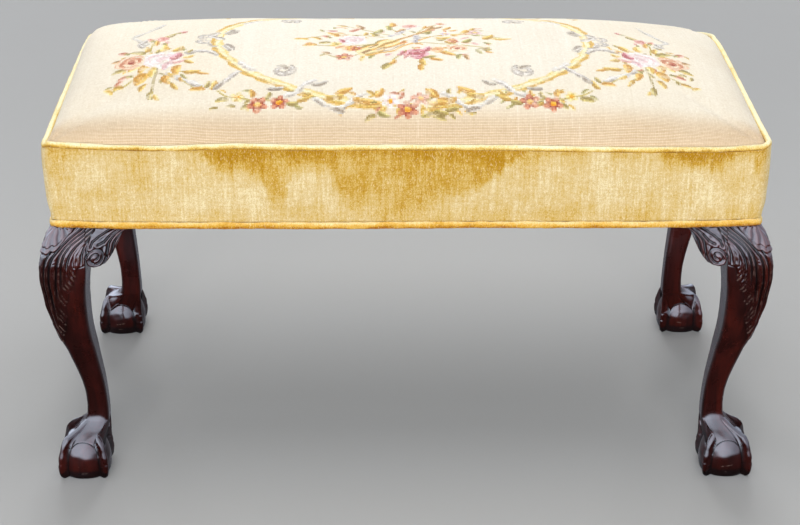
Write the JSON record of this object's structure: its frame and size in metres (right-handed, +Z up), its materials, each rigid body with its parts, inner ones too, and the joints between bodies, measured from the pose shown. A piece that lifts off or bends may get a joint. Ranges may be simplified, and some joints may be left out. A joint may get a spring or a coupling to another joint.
{
  "type": "window bench",
  "caption": "Upholstered window bench: crowned needlepoint seat with velvet boxing and cord trim on carved cabriole legs with ball-and-claw feet.",
  "frame": {"origin": "on the floor, under the middle of the bench", "axes": "+X along the bench, -Y to the front side seen in the picture, +Z up"},
  "size_m": [0.9356, 0.4916, 0.5345],
  "materials": {
    "mahogany": "French-polished dark red mahogany",
    "beech": "sawn, unfinished",
    "steel": "plain drawn wire and plain screws",
    "jute_webbing": "woven jute",
    "hessian": "woven jute canvas",
    "stuffing": "loose fibre and hair",
    "needlepoint": "wool needlepoint, ivory ground with a floral garland",
    "velvet": "worn straw-gold velvet",
    "trim": "golden velvet cord",
    "cambric": "black cotton"
  },
  "bodies": {
    "root": {"leg_front_left": "mahogany", "knee_bracket_front_left_long": "mahogany", "knee_bracket_front_left_end": "mahogany", "leg_front_right": "mahogany", "knee_bracket_front_right_long": "mahogany", "knee_bracket_front_right_end": "mahogany", "leg_back_left": "mahogany", "knee_bracket_back_left_long": "mahogany", "knee_bracket_back_left_end": "mahogany", "leg_back_right": "mahogany", "knee_bracket_back_right_long": "mahogany", "knee_bracket_back_right_end": "mahogany", "seat_rail_front": "beech", "seat_rail_back": "beech", "seat_rail_left": "beech", "seat_rail_right": "beech", "corner_block_front_left": "beech", "block_screw_front_left_long": "steel", "block_screw_front_left_end": "steel", "corner_block_front_right": "beech", "block_screw_front_right_long": "steel", "block_screw_front_right_end": "steel", "corner_block_back_left": "beech", "block_screw_back_left_long": "steel", "block_screw_back_left_end": "steel", "corner_block_back_right": "beech", "block_screw_back_right_long": "steel", "block_screw_back_right_end": "steel", "webbing_long_1": "jute_webbing", "webbing_long_2": "jute_webbing", "webbing_long_3": "jute_webbing", "webbing_cross_1": "jute_webbing", "webbing_cross_2": "jute_webbing", "webbing_cross_3": "jute_webbing", "webbing_cross_4": "jute_webbing", "webbing_cross_5": "jute_webbing", "webbing_cross_6": "jute_webbing", "webbing_cross_7": "jute_webbing", "coil_spring_1": "steel", "coil_spring_2": "steel", "coil_spring_3": "steel", "coil_spring_4": "steel", "coil_spring_5": "steel", "coil_spring_6": "steel", "coil_spring_7": "steel", "coil_spring_8": "steel", "spring_canvas": "hessian", "edge_roll": "hessian", "first_stuffing": "stuffing", "top_stuffing": "stuffing", "needlepoint_cover": "needlepoint", "velvet_boxing": "velvet", "top_welt": "velvet", "bottom_trim": "trim", "dust_cover": "cambric"}
  },
  "joints": []
}
